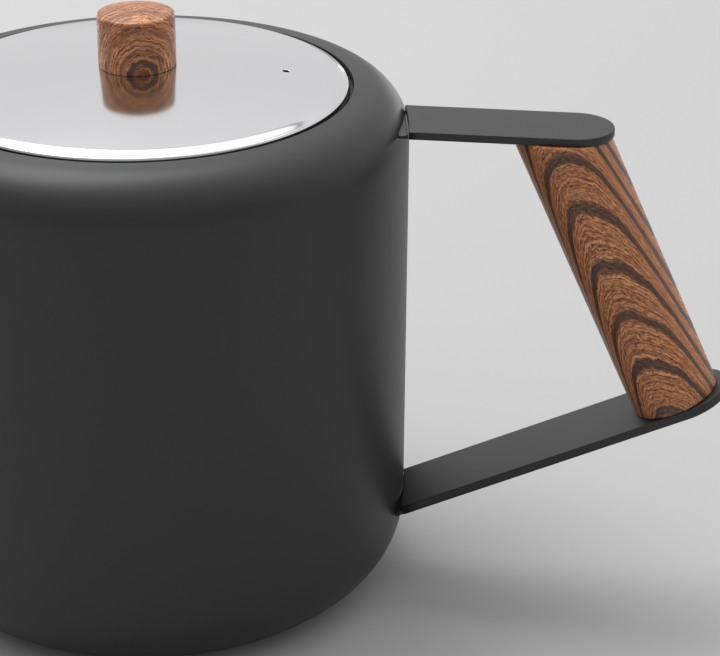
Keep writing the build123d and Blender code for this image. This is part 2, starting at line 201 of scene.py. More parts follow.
def rounded(corners, arc_points=10, run_points=6):
    """Points along straight runs; each corner (x, y, radius) becomes an arc tangent to both of its runs.

    An arc turns about the centre that lies radius / sin(half the corner's angle) along its bisector. Runs
    are sampled more closely near their ends, as (1 - cos) of an even parameter. A radius of 0, as at both
    ends, leaves the corner sharp.
    """
    corners = np.asarray(corners, float)
    p, radii = corners[:, :2], corners[:, 2]
    arcs = []
    for k in range(len(p)):
        if radii[k] == 0:
            arcs.append(p[k : k + 1])
            continue
        before = p[k - 1] - p[k]
        after = p[k + 1] - p[k]
        before = before / np.linalg.norm(before)
        after = after / np.linalg.norm(after)
        half = np.arccos(np.clip(before @ after, -1, 1)) / 2
        bisector = (before + after) / np.linalg.norm(before + after)
        centre = p[k] + bisector * radii[k] / sin(half)
        first = p[k] + before * radii[k] / tan(half) - centre
        last = p[k] + after * radii[k] / tan(half) - centre
        turn = pi - 2 * half
        t = np.linspace(0, 1, arc_points)[:, None]
        arcs.append(centre + (np.sin((1 - t) * turn) * first + np.sin(t * turn) * last) / sin(turn))
    ease = (1 - np.cos(np.linspace(0, pi, run_points + 2)[1:-1, None])) / 2
    points = [arcs[0]]
    for arc, following in zip(arcs, arcs[1:]):
        points += [arc[-1] + (following[0] - arc[-1]) * ease, following]
    return np.concatenate(points)


def grid_faces(rows, columns, wrap_rows, wrap_columns):
    """Quads of a rows by columns grid of points, joined round in either direction where asked."""
    i = np.arange(rows if wrap_rows else rows - 1)[:, None]
    j = np.arange(columns if wrap_columns else columns - 1)[None, :]
    down, right = (i + 1) % rows, (j + 1) % columns
    corners = (i * columns + j, i * columns + right, down * columns + right, down * columns + j)
    return np.stack([np.broadcast_to(c, (i.size, j.size)) for c in corners], -1).reshape(-1, 4)


def make_piece(name, points, faces):
    """Mesh object from arrays, with shared points merged, faces turned outwards and smooth shading."""
    mesh = bpy.data.meshes.new(name)
    mesh.from_pydata(points.reshape(-1, 3), [], [list(f) for f in faces])
    work = bmesh.new()
    work.from_mesh(mesh)
    bmesh.ops.remove_doubles(work, verts=work.verts, dist=1e-7)
    bmesh.ops.recalc_face_normals(work, faces=work.faces)
    work.to_mesh(mesh)
    work.free()
    mesh.polygons.foreach_set("use_smooth", np.ones(len(mesh.polygons), bool))
    mesh.update()
    piece = bpy.data.objects.new(name, mesh)
    bpy.context.scene.collection.objects.link(piece)
    return piece


def grid_piece(name, grid, wrap_rows=False, wrap_columns=True, first_cap=None, last_cap=None):
    """Piece from a grid of points; a cap joins the first or last row to a pole with triangles."""
    rows, columns = grid.shape[:2]
    points = [grid.reshape(-1, 3)]
    faces = [list(map(tuple, grid_faces(rows, columns, wrap_rows, wrap_columns)))]
    around = np.arange(columns)
    for row, pole in ((0, first_cap), (rows - 1, last_cap)):
        if pole is not None:
            index = sum(len(block) for block in points)
            points.append(np.asarray(pole, float)[None, :])
            ring = row * columns + around
            fan = np.stack([ring, np.roll(ring, -1), np.full(columns, index)], -1)
            faces.append(list(map(tuple, fan)))
    return make_piece(name, np.concatenate(points), [f for block in faces for f in block])


def lathe(profile, segments):
    """Grid of a profile turned about the Z axis: (r cos a, r sin a, z) for each angle a."""
    angle = np.linspace(0, 2 * pi, segments, endpoint=False)
    r, z = profile[:, 0:1], profile[:, 1:2]
    heights = np.broadcast_to(z, (len(profile), segments))
    return np.stack([r * np.cos(angle), r * np.sin(angle), heights], -1)


def lathe_piece(name, profile, segments):
    """Turned piece from a profile whose two ends lie on the axis and close into poles."""
    first = (0, 0, profile[0, 1])
    last = (0, 0, profile[-1, 1])
    return grid_piece(name, lathe(profile[1:-1], segments), first_cap=first, last_cap=last)


def plate_grid(outline, thickness, edge, steps=5):
    """Grid of a flat plate with rounded edges, in its own plane: x, y from the outline, z up to thickness.

    Each row is the outline moved inward by edge (1 - sin a) at a height edge (1 - cos a), a quarter turn at
    each face, so the side between the two quarter turns stays square.
    """
    ahead = np.roll(outline, -1, 0) - np.roll(outline, 1, 0)
    ahead /= np.linalg.norm(ahead, axis=1)[:, None]
    outward = np.stack([ahead[:, 1], -ahead[:, 0]], -1)
    ahead_x, ahead_y = np.roll(outline[:, 0], -1), np.roll(outline[:, 1], -1)
    outward *= np.sign(np.sum(outline[:, 0] * ahead_y - ahead_x * outline[:, 1]))
    a = np.linspace(0, pi / 2, steps)
    inset = np.concatenate([edge * (1 - np.sin(a)), edge * (1 - np.sin(a[::-1]))])
    height = np.concatenate([edge * (1 - np.cos(a)), thickness - edge * (1 - np.cos(a[::-1]))])
    flat = outline[None, :, :] - inset[:, None, None] * outward[None, :, :]
    rise = np.broadcast_to(height[:, None, None], flat.shape[:2] + (1,))
    return np.concatenate([flat, rise], -1)


def plate_piece(name, grid):
    """Piece from a plate's grid, its two broad sides each closed by one flat-shaded face."""
    rows, columns = grid.shape[:2]
    faces = list(map(tuple, grid_faces(rows, columns, False, True)))
    faces.append(tuple(range(columns)))
    faces.append(tuple(range((rows - 1) * columns, rows * columns)))
    piece = make_piece(name, grid.reshape(-1, 3), faces)
    sides = np.array([polygon.loop_total for polygon in piece.data.polygons])
    piece.data.polygons.foreach_set("use_smooth", sides < 5)
    return piece


def placed(grid, origin, x_axis, y_axis, z_axis):
    """Grid moved from its own plane into the object's frame."""
    return np.asarray(origin) + grid @ np.array([x_axis, y_axis, z_axis], float)


def cut_out(piece, cutter, finish=None):
    """Takes a cutter's shape out of a piece for good; the cut's faces get the finish, if one is given."""
    if finish:
        cutter.data.materials.append(finish)
    cut = piece.modifiers.new("cut", "BOOLEAN")
    cut.object = cutter
    cut.operation = "DIFFERENCE"
    cut.solver = "EXACT"
    cut.material_mode = "TRANSFER" if finish else "INDEX"
    graph = bpy.context.evaluated_depsgraph_get()
    mesh = bpy.data.meshes.new_from_object(piece.evaluated_get(graph))
    piece.modifiers.clear()
    piece.data = mesh
    bpy.data.objects.remove(cutter)


# ---------------------------------------------------------------- shapes shared by the operators


class Pot:
    """Sizes of the pot that several pieces share, from the frame and the property groups."""

    def __init__(self):
        sizes = bpy.context.scene.teapot_pot
        low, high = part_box("outer_shell")
        self.seam, self.rim = low.z, high.z
        self.foot_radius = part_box("base_pan")[1].y - sizes.taper * self.seam / sizes.shoulder_height
        self.radius = self.foot_radius + sizes.taper
        self.mouth = self.radius - sizes.shoulder_width
        self.spout_axis = np.array([-cos(sizes.spout_angle), 0, sin(sizes.spout_angle)])
        self.spout_start = np.array([sizes.spout_root_depth - self.radius, 0, sizes.spout_root_height])
        self.spout_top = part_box("spout")[1].z
        rise = (self.spout_top - sizes.spout_root_height) / sin(sizes.spout_angle)
        self.spout_length = rise + sizes.spout_overrun
        self.spout_slope = (sizes.spout_root_radius - sizes.spout_tip_radius) / self.spout_length

    def side_radius(self, z):
        """Radius of the pot's straight side at a height."""
        sizes = bpy.context.scene.teapot_pot
        return self.foot_radius + sizes.taper * z / sizes.shoulder_height

    def spout_point(self, turn, along, inset=0.0):
        """Point on the spout's cone: start + along axis + shrinking radius round it."""
        sizes = bpy.context.scene.teapot_pot
        across = np.array([0, 1, 0])
        upward = np.cross(self.spout_axis, across)
        radius = sizes.spout_root_radius - self.spout_slope * along - inset
        round_axis = np.cos(turn)[..., None] * across + np.sin(turn)[..., None] * upward
        return self.spout_start + along[..., None] * self.spout_axis + radius[..., None] * round_axis

    def along_cone(self, turn, reach, passed, inset):
        """How far along each of the cone's lines a test is passed, by halving the interval."""
        near = np.zeros_like(turn)
        far = np.full_like(turn, reach)
        for _ in range(HALVINGS):
            middle = (near + far) / 2
            beyond = passed(self.spout_point(turn, middle, inset))
            far = np.where(beyond, middle, far)
            near = np.where(beyond, near, middle)
        return (near + far) / 2

    def spout_to_side(self, turn, radius_at, inset=0.0):
        """How far along each of the cone's lines it leaves a round side."""

        def outside(point):
            return np.hypot(point[..., 0], point[..., 1]) > radius_at(point[..., 2])

        return self.along_cone(turn, self.spout_length, outside, inset)

    def spout_to_level(self, turn, height, inset=0.0):
        """How far along each of the cone's lines it reaches a height."""

        def above(point):
            return point[..., 2] > height

        return self.along_cone(turn, self.spout_length * 1.5, above, inset)


def finish_piece(piece, material, body, slot, *nodes):
    """Gives a piece its material and its body, and hides the CAD nodes that it stands for. The slot argument
    is not used.
    """
    piece.data.materials.clear()
    piece.data.materials.append(material)
    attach(piece, body)
    if nodes:
        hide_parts(*nodes)
    return piece


# ---------------------------------------------------------------- materials


class Finish:
    """A material with an empty node tree, and short ways to add nodes to it."""

    def __init__(self, name):
        self.material = bpy.data.materials.new(name)
        self.material.use_nodes = True
        self.tree = self.material.node_tree
        self.tree.nodes.clear()
        self.shader = self.add("ShaderNodeBsdfPrincipled")
        output = self.add("ShaderNodeOutputMaterial")
        self.tree.links.new(self.shader.outputs[0], output.inputs[0])
        self.place = self.add("ShaderNodeTexCoord").outputs["Object"]

    def add(self, kind, values=None, **settings):
        """A node with its settings made and its sockets set or linked."""
        node = self.tree.nodes.new(kind)
        for key, value in settings.items():
            setattr(node, key, value)
        for socket, value in (values or {}).items():
            if isinstance(value, bpy.types.NodeSocket):
                self.tree.links.new(value, node.inputs[socket])
            else:
                node.inputs[socket].default_value = value
        return node

    def math(self, operation, *values):
        """Result of a Math node."""
        return self.add("ShaderNodeMath", dict(enumerate(values)), operation=operation).outputs[0]

    def noise(self, vector, scale, detail=2.0, roughness=0.5, distortion=0.0):
        """Value of a 3-D noise."""
        values = {"Vector": vector, "Scale": scale, "Detail": detail}
        values |= {"Roughness": roughness, "Distortion": distortion}
        return self.add("ShaderNodeTexNoise", values).outputs[0]

    def line_noise(self, value, scale, detail=2.0):
        """Value of a 1-D noise along a number."""
        values = {"W": value, "Scale": scale, "Detail": detail}
        return self.add("ShaderNodeTexNoise", values, noise_dimensions="1D").outputs[0]

    def spread(self, value, low, high, to_low=0.0, to_high=1.0, smooth=False):
        """Value mapped from one range to another, and held inside it."""
        values = {"Value": value, "From Min": low, "From Max": high, "To Min": to_low, "To Max": to_high}
        kind = "SMOOTHSTEP" if smooth else "LINEAR"
        return self.add("ShaderNodeMapRange", values, interpolation_type=kind, clamp=True).outputs[0]

    def mix(self, factor, first, second, blend="MIX"):
        """Mix of two colours."""
        node = self.add("ShaderNodeMix", data_type="RGBA", blend_type=blend)
        for socket, value in ((0, factor), (6, first), (7, second)):
            if isinstance(value, bpy.types.NodeSocket):
                self.tree.links.new(value, node.inputs[socket])
            elif socket:
                node.inputs[socket].default_value = (*value[:3], 1)
            else:
                node.inputs[socket].default_value = value
        return node.outputs[2]

    def bump(self, height, strength, distance, normal=None):
        """Normal from a height."""
        values = {"Height": height, "Strength": strength, "Distance": distance}
        if normal:
            values["Normal"] = normal
        return self.add("ShaderNodeBump", values).outputs[0]

    def set(self, **values):
        """Sets or links sockets of the shader, named with _ for a space."""
        for key, value in values.items():
            socket = self.shader.inputs[key.replace("_", " ")]
            if isinstance(value, bpy.types.NodeSocket):
                self.tree.links.new(value, socket)
            else:
                socket.default_value = value
        return self.material


def paint(name):
    """One of the base colours."""
    return tuple(getattr(bpy.context.scene.teapot_finishes, name))


def shade(colour, factor):
    """Colour made lighter or darker."""
    return tuple(c * factor for c in colour[:3])


def powder_coat():
    """Matte black powder coat: fine orange peel, sandy grain in tone and gloss, and a faint cloudy tone."""
    finish = Finish("powder_coat")
    colour = paint("coat")
    cloud = finish.noise(finish.place, 38.0, 3.0)
    grain = finish.noise(finish.place, 2600.0, 2.0, 0.6)
    peel = finish.noise(finish.place, 720.0, 2.0, 0.5)
    tone = finish.mix(finish.spread(cloud, 0.3, 0.7), shade(colour, 0.93), shade(colour, 1.08))
    tone = finish.mix(finish.spread(grain, 0.62, 0.8, 0.0, 0.35), tone, shade(colour, 2.2))
    clouded = finish.spread(cloud, 0.3, 0.7, 0.36, 0.41)
    rough = finish.math("ADD", clouded, finish.spread(grain, 0.3, 0.7, -0.03, 0.05))
    normal = finish.bump(peel, 0.35, 0.00006)
    normal = finish.bump(grain, 0.45, 0.00002, normal)
    return finish.set(Base_Color=tone, Roughness=rough, Normal=normal, Specular_IOR_Level=0.3, IOR=1.5)


def polished_steel():
    """Mirror-polished stainless steel: hairline scratches, faint smears in the gloss."""
    finish = Finish("polished_steel")
    colour = paint("steel")
    brushed = {"Vector": finish.place, "Scale": (1.0, 0.06, 1.0)}
    stretched = finish.add("ShaderNodeMapping", brushed).outputs[0]
    hair = finish.noise(stretched, 5200.0, 2.0, 0.6)
    smear = finish.noise(finish.place, 45.0, 3.0, 0.5, 0.6)
    tone = finish.mix(finish.spread(smear, 0.35, 0.7), colour, shade(colour, 0.985))
    smeared = finish.spread(smear, 0.4, 0.75, 0.010, 0.022)
    rough = finish.math("ADD", smeared, finish.spread(hair, 0.66, 0.8, 0.0, 0.01))
    normal = finish.bump(hair, 0.01, 0.00001)
    return finish.set(Base_Color=tone, Metallic=1.0, Roughness=rough, Normal=normal)


def drilled_steel():
    """Wall of the drilled vent hole: dull steel with fine drill marks round it, its colour darkened nearly
    to black as painted shade inside the hole.
    """
    finish = Finish("drilled_steel")
    colour = paint("steel")
    parts = finish.add("ShaderNodeSeparateXYZ", {"Vector": finish.place})
    marks = finish.line_noise(parts.outputs[2], 12000.0, 2.0)
    # Painted shade: the bore's steel is darkened to a twentieth to a tenth of its colour, standing for the
    # shade inside the vent hole
    tone = finish.mix(finish.spread(marks, 0.3, 0.7), shade(colour, 0.05), shade(colour, 0.12))
    rough = finish.spread(marks, 0.3, 0.7, 0.5, 0.65)
    normal = finish.bump(marks, 0.2, 0.00002)
    return finish.set(Base_Color=tone, Metallic=1.0, Roughness=rough, Normal=normal)


def satin_steel():
    """Spun satin stainless steel: fine rings about the pot's axis, in the gloss and the surface."""
    finish = Finish("satin_steel")
    colour = paint("steel")
    parts = finish.add("ShaderNodeSeparateXYZ", {"Vector": finish.place})
    across = finish.add("ShaderNodeCombineXYZ", {"X": parts.outputs[0], "Y": parts.outputs[1]}).outputs[0]
    radius = finish.add("ShaderNodeVectorMath", {0: across}, operation="LENGTH").outputs["Value"]
    line = finish.math("ADD", radius, parts.outputs[2])
    rings = finish.line_noise(line, 9000.0, 3.0)
    cloud = finish.noise(finish.place, 60.0, 3.0)
    tone = finish.mix(finish.spread(rings, 0.3, 0.7), shade(colour, 0.72), shade(colour, 0.84))
    clouded = finish.spread(cloud, 0.3, 0.7, 0.24, 0.31)
    rough = finish.math("ADD", clouded, finish.spread(rings, 0.3, 0.7, -0.03, 0.05))
    normal = finish.bump(rings, 0.12, 0.00002)
    return finish.set(Base_Color=tone, Metallic=1.0, Roughness=rough, Normal=normal)


def brass():
    """Plain brass with a cloudy tarnish in its tone, gloss and surface."""
    finish = Finish("brass")
    colour = paint("brass")
    cloud = finish.noise(finish.place, 400.0, 3.0)
    tone = finish.mix(finish.spread(cloud, 0.35, 0.7), colour, shade(colour, 0.7))
    rough = finish.spread(cloud, 0.3, 0.7, 0.25, 0.4)
    normal = finish.bump(cloud, 0.1, 0.00003)
    return finish.set(Base_Color=tone, Metallic=1.0, Roughness=rough, Normal=normal)


def figured_wood(name, frame_of_piece, figure, sway, period, start, strength, fineness=1.0, knot=None):
    """Oiled figured hardwood in the piece's own millimetres: x to the right, y to the front, z along it.

    All colours follow one number, the ring depth. figure adds the nodes for its plain form, and noises from
    slow to fine bend it, so its lines waver. Thin brown lines and pale flecks follow it closely, and a
    blackish band returns once in each period. knot gives the two radii of a dark ring. Flecks, dashes and
    pores are drawn out along the lines.
    """
    finish = Finish(name)
    pale, warm, brown, dark = (paint("wood_" + kind) for kind in ("pale", "warm", "brown", "dark"))
    origin, axes = frame_of_piece
    turn = Matrix(axes).transposed().to_euler()
    values = {"Vector": finish.place, "Location": origin, "Rotation": turn, "Scale": (MM, MM, MM)}
    own = finish.add("ShaderNodeMapping", values, vector_type="TEXTURE").outputs[0]
    parts = finish.add("ShaderNodeSeparateXYZ", {"Vector": own})
    x, y, z = (parts.outputs[k] for k in range(3))
    form, spread_out = figure(finish, x, y, z)
    along = finish.add("ShaderNodeMapping", {"Vector": own, "Scale": (1.0, 1.0, 0.45)}).outputs[0]
    depth = form
    for scale, reach in ((0.07, 2.0 * sway), (0.32, 0.55 * sway), (1.1, 0.22), (3.0, 0.12)):
        bend = finish.spread(finish.noise(along, scale, 1.0, 0.5), 0.25, 0.75, -reach, reach)
        depth = finish.math("ADD", depth, bend)
    side = finish.math("ADD", x, finish.math("MULTIPLY", y, 0.6))

    def streak(across, sideways, lengthways, detail):
        """Noise drawn out along the lines: fine across them, coarse beside and along them."""
        place = {
            "X": finish.math("MULTIPLY", depth, across * fineness),
            "Y": finish.math("MULTIPLY", side, sideways / fineness),
            "Z": finish.math("MULTIPLY", z, lengthways / fineness),
        }
        return finish.noise(finish.add("ShaderNodeCombineXYZ", place).outputs[0], 1.0, detail, 0.6)

    fleck = streak(1.5, 0.75, 0.45, 3.0)
    dash = streak(2.8, 1.0, 0.55, 1.0)
    pore = streak(4.0, 2.2, 1.4, 0.0)
    wide = finish.line_noise(depth, 0.42, 1.0)
    fine = finish.line_noise(depth, 1.15 * fineness, 2.0)
    body = finish.mix(finish.spread(fleck, 0.34, 0.62), warm, pale)
    body = finish.mix(finish.spread(wide, 0.35, 0.65, 0.0, 0.55), body, shade(warm, 0.8))
    line = finish.spread(fine, 0.42, 0.54, 1.0, 0.0, True)
    line = finish.math("MULTIPLY", line, finish.spread(fleck, 0.3, 0.6, 0.95, 0.55))
    body = finish.mix(line, body, brown)
    body = finish.mix(finish.spread(dash, 0.55, 0.68, 0.0, 0.8), body, shade(brown, 0.9))
    body = finish.mix(finish.spread(dash, 0.30, 0.43, 0.6, 0.0), body, shade(pale, 1.15))
    turned = finish.math("DIVIDE", finish.math("SUBTRACT", depth, start), period)
    season = finish.math("ABSOLUTE", finish.math("SUBTRACT", finish.math("FRACT", turned), 0.5))
    half = finish.math("MULTIPLY_ADD", spread_out, 0.10, 0.105)
    edge = finish.math("DIVIDE", season, half)
    band = finish.spread(edge, 0.55, 1.35, strength, 0.0, True)
    band = finish.math("MULTIPLY", band, finish.spread(fleck, 0.3, 0.68, 1.0, 0.82))
    body = finish.mix(band, body, dark)
    if knot:
        heart, rim = knot
        width = rim - heart
        from_ring = finish.math("ABSOLUTE", finish.math("SUBTRACT", depth, (heart + rim) / 2))
        body = finish.mix(finish.spread(from_ring, width * 0.35, width * 0.9, 0.8, 0.0, True), body, dark)
        body = finish.mix(finish.spread(depth, heart * 0.8, heart * 1.2, 0.45, 0.0, True), body, brown)
    pores = finish.spread(pore, 0.64, 0.74)
    body = finish.mix(finish.math("MULTIPLY", pores, 0.7), body, shade(dark, 0.8))
    oiled = finish.spread(fleck, 0.3, 0.7, 0.33, 0.43)
    rough = finish.math("ADD", oiled, finish.math("MULTIPLY", pores, 0.2))
    relief = finish.math("SUBTRACT", finish.math("MULTIPLY", fleck, 0.4), pores)
    normal = finish.bump(relief, 0.25, 0.00005)
    return finish.set(Base_Color=body, Roughness=rough, Normal=normal, Specular_IOR_Level=0.5)


def arch_figure(finish, x, y, z):
    """Nested arches down a rod: depth = z - 13 h + 0.35 y, where h = 1.25 u^2 + 1.6 u^6.

    u is the way from the arches' crown line out to the flank, in a wider unit to the right than to the
    left.
    """
    crown_line, right_reach, left_reach = -2.1, 13.2, 8.3
    off = finish.math("SUBTRACT", x, crown_line)
    right = finish.math("DIVIDE", finish.math("MAXIMUM", off, 0.0), right_reach)
    left = finish.math("DIVIDE", finish.math("MINIMUM", off, 0.0), -left_reach)
    u = finish.math("ADD", right, left)
    squared = finish.math("POWER", u, 2.0)
    sixth = finish.math("POWER", u, 6.0)
    h = finish.math("MULTIPLY_ADD", sixth, 1.6, finish.math("MULTIPLY", squared, 1.25))
    depth = finish.math("MULTIPLY_ADD", h, -13.0, z)
    return finish.math("MULTIPLY_ADD", y, 0.35, depth), finish.math("MINIMUM", squared, 1.2)


def knot_figure(finish, x, y, z):
    """Rings round a knot low on the front: the length of the way from its heart, stretched lengthways."""
    way = finish.add("ShaderNodeCombineXYZ", {"X": x, "Y": y, "Z": z}).outputs[0]
    way = finish.add("ShaderNodeVectorMath", {0: way, 1: KNOT_HEART}, operation="SUBTRACT").outputs[0]
    drawn = {0: way, 1: (1.08, 1.0, 0.85)}
    way = finish.add("ShaderNodeVectorMath", drawn, operation="MULTIPLY").outputs[0]
    depth = finish.add("ShaderNodeVectorMath", {0: way}, operation="LENGTH").outputs["Value"]
    return depth, finish.spread(depth, 0.0, 12.0, 0.0, 0.6)


def studio_floor():
    """Pale seamless paper with a faint tooth."""
    finish = Finish("studio_floor")
    colour = paint("floor")
    tooth = finish.noise(finish.place, 900.0, 3.0)
    tone = finish.mix(tooth, shade(colour, 0.985), colour)
    return finish.set(Base_Color=tone, Roughness=0.85, Normal=finish.bump(tooth, 0.1, 0.0001))


def once(maker, *arguments, **settings):
    """A material made the first time that it is asked for."""
    name = arguments[0] if arguments else maker.__name__
    return bpy.data.materials.get(name) or maker(*arguments, **settings)


# ---------------------------------------------------------------- operators


class TEAPOT_OT_studio(bpy.types.Operator):
    """Pale floor, soft lights and the camera"""

    bl_idname = "teapot.studio"
    bl_label = "Studio"

    def execute(self, context):
        scene = context.scene
        self.floor()
        for light in LIGHTS:
            self.light(*light)
        self.backdrop(scene)
        self.camera(scene)
        scene.view_settings.view_transform = "Standard"
        return {"FINISHED"}

    def floor(self):
        """A wide flat sheet at table height."""
        reach = 3.0
        points = np.array([[-reach, -reach, 0], [reach, -reach, 0], [reach, reach, 0], [-reach, reach, 0]])
        sheet = make_piece("studio_floor", points, [(0, 1, 2, 3)])
        if sheet.data.polygons[0].normal.z < 0:
            sheet.data.flip_normals()
        sheet.data.materials.append(once(studio_floor))

    def light(self, name, place, target, width, height, power):
        """A soft rectangular light at a place, facing a target."""
        lamp = bpy.data.lights.new(name, "AREA")
        lamp.shape = "RECTANGLE"
        lamp.size, lamp.size_y, lamp.energy = width, height, power
        holder = bpy.data.objects.new(name, lamp)
        bpy.context.scene.collection.objects.link(holder)
        direction = np.subtract(target, place)
        holder.rotation_mode = "QUATERNION"
        holder.rotation_quaternion = Vector(direction).to_track_quat("-Z", "Y")
        holder.location = place

    def backdrop(self, scene):
        """Grey surroundings, lighter above than at the sides and dimmer in front."""
        world = bpy.data.worlds.new("studio")
        scene.world = world
        world.use_nodes = True
        tree = world.node_tree
        background = tree.nodes["Background"]
        place = tree.nodes.new("ShaderNodeTexCoord")
        parts = tree.nodes.new("ShaderNodeSeparateXYZ")
        ramp = tree.nodes.new("ShaderNodeValToRGB")
        height = tree.nodes.new("ShaderNodeMath")
        height.operation = "MULTIPLY_ADD"
        height.inputs[1].default_value = 0.5
        height.inputs[2].default_value = 0.5
        tree.links.new(place.outputs["Generated"], parts.inputs[0])
        tree.links.new(parts.outputs[2], height.inputs[0])
        tree.links.new(height.outputs[0], ramp.inputs[0])
        while len(ramp.color_ramp.elements) < len(SKY):
            ramp.color_ramp.elements.new(1.0)
        for element, (position, level) in zip(ramp.color_ramp.elements, SKY):
            element.position = position
            element.color = (level, level, level * 1.01, 1)
        front = tree.nodes.new("ShaderNodeMapRange")
        front.inputs["From Min"].default_value = FRONT_FADE[0]
        front.inputs["From Max"].default_value = FRONT_FADE[1]
        front.inputs["To Min"].default_value = FRONT_SHARE
        tree.links.new(parts.outputs[1], front.inputs["Value"])
        tree.links.new(ramp.outputs[0], background.inputs[0])
        tree.links.new(front.outputs[0], background.inputs[1])

    def camera(self, scene):
        """The camera stands in front, a little above, and looks down at the handle's side of the pot."""
        lens = bpy.data.cameras.new("camera")
        lens.sensor_width = 36.0
        lens.lens = CAMERA_LENS
        lens.clip_start = 0.01
        holder = bpy.data.objects.new("camera", lens)
        scene.collection.objects.link(holder)
        turn = Matrix.Rotation(CAMERA_TURN, 4, "Z")
        dip = Matrix.Rotation(pi / 2 - CAMERA_DIP, 4, "X")
        roll = Matrix.Rotation(CAMERA_ROLL, 4, "Z")
        holder.matrix_world = Matrix.Translation(CAMERA_PLACE) @ turn @ dip @ roll
        scene.camera = holder


class TEAPOT_OT_pot_body(bpy.types.Operator):
    """Outer skin of the pot: foot, rounded base, side, shoulder and turned-in mouth as one welded sheet"""

    bl_idname = "teapot.pot_body"
    bl_label = "Pot body"

    def execute(self, context):
        sizes = context.scene.teapot_pot
        pot = Pot()
        wall = sizes.wall
        collar = pot.rim - sizes.collar_depth
        lip_top = pot.rim - sizes.lip_depth
        lip_foot = lip_top - sizes.lip_gauge
        lip_round = sizes.lip_gauge * 0.4
        lip_edge = pot.mouth - sizes.lip_width
        rim_under = pot.rim - wall * 1.25
        shoulder_under = sizes.shoulder_height - wall * 0.95
        corners = [
            (0, 0, 0),
            (pot.foot_radius, 0, sizes.base_round),
            (pot.radius, sizes.shoulder_height, sizes.shoulder_round),
            (pot.mouth, pot.rim, sizes.rim_round),
            (pot.mouth, lip_top, lip_round),
            (lip_edge, lip_top, lip_round),
            (lip_edge, lip_foot, lip_round),
            (pot.mouth, lip_foot, 0),
            (pot.mouth, collar, wall * 0.3),
            (pot.mouth + wall, collar, wall * 0.3),
            (pot.mouth + wall, rim_under, sizes.rim_round),
            (pot.radius - wall, shoulder_under, sizes.shoulder_round - wall),
            (pot.foot_radius - wall, wall, sizes.base_round - wall),
            (0, wall, 0),
        ]
        profile = rounded(corners, arc_points=14, run_points=7)
        skin = lathe_piece("pot_skin", profile, sizes.segments)
        self.open_spout(skin, pot)
        finish_piece(skin, once(powder_coat), "pot", "powder_coat", "outer_shell", "base_pan")
        return {"FINISHED"}

    def open_spout(self, skin, pot):
        """Cuts the spout's opening with its own cone."""
        rows, columns = 12, 96
        turn = np.broadcast_to(np.linspace(0, 2 * pi, columns, endpoint=False), (rows, columns))
        along = np.linspace(0, pot.spout_length * 0.8, rows)[:, None]
        grid = pot.spout_point(turn, np.broadcast_to(along, (rows, columns)), 0.2 * MM)
        cutter = grid_piece("spout_cutter", grid, first_cap=grid[0].mean(0), last_cap=grid[-1].mean(0))
        cut_out(skin, cutter)


class TEAPOT_OT_spout(bpy.types.Operator):
    """Tapered spout with a level mouth, and the smooth weld round its root"""

    bl_idname = "teapot.spout"
    bl_label = "Spout"

    def execute(self, context):
        sizes = context.scene.teapot_pot
        pot = Pot()
        wall = sizes.wall
        rows, columns = 40, 128
        turn = np.linspace(0, 2 * pi, columns, endpoint=False)
        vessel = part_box("inner_vessel")[1].y

        def vessel_side(z):
            return np.full_like(z, vessel)

        lip = 0.35 * MM
        outer_start = pot.spout_to_side(turn, vessel_side)
        inner_start = pot.spout_to_side(turn, vessel_side, wall)
        outer_end = pot.spout_to_level(turn, pot.spout_top - lip)
        inner_end = pot.spout_to_level(turn, pot.spout_top - lip, wall)
        t = np.linspace(0, 1, rows)[:, None]
        turns = np.broadcast_to(turn, (rows, columns))
        outside = pot.spout_point(turns, outer_start + (outer_end - outer_start) * t)
        inside = pot.spout_point(turns, inner_end + (inner_start - inner_end) * t, wall)
        swing = np.linspace(0, pi, 9)[1:-1, None, None]
        middle = (outside[-1] + inside[0]) / 2
        half = (outside[-1] - inside[0]) / 2
        crest = middle + half * np.cos(swing) + np.array([0, 0, lip]) * np.sin(swing)
        grid = np.concatenate([outside, crest, inside])
        tube = grid_piece("spout_tube", grid, wrap_rows=True)
        finish_piece(tube, once(powder_coat), "pot", "powder_coat", "spout")
        self.weld(pot, sizes.weld)
        return {"FINISHED"}

    def weld(self, pot, reach):
        """A concave fillet: each section is a quadratic curve from the cone to the side, by their corner."""
        columns = 160
        turn = np.linspace(0, 2 * pi, columns, endpoint=False)
        meet = pot.spout_to_side(turn, pot.side_radius)
        corner = pot.spout_point(turn, meet)
        up_cone = pot.spout_point(turn, meet + reach)
        ahead = np.roll(corner, -1, 0) - np.roll(corner, 1, 0)
        outward = corner * np.array([1, 1, 0])
        outward /= np.linalg.norm(outward, axis=1)[:, None]
        away = np.cross(ahead, outward)
        away /= np.linalg.norm(away, axis=1)[:, None]
        away *= np.sign(np.sum(away * (corner - corner.mean(0)), axis=1))[:, None]
        on_side = corner + away * reach
        radius = np.hypot(on_side[:, 0], on_side[:, 1])
        fit = pot.side_radius(on_side[:, 2]) / radius
        on_side = on_side * np.stack([fit, fit, np.ones_like(fit)], -1)
        buried = 0.15 * MM
        sink = outward * buried
        t = np.linspace(0, 1, 12)[:, None, None]
        curve = (1 - t) ** 2 * up_cone + 2 * t * (1 - t) * corner + t**2 * on_side
        cone_axis = pot.spout_start + meet[:, None] * pot.spout_axis
        inward = cone_axis - corner
        inward /= np.linalg.norm(inward, axis=1)[:, None]
        behind = corner - 4 * sink + inward * 0.4 * MM
        back = np.stack([on_side - sink, behind, up_cone + inward * buried])
        piece = grid_piece("spout_weld", np.concatenate([curve, back]), wrap_rows=True)
        finish_piece(piece, once(powder_coat), "pot", "powder_coat")


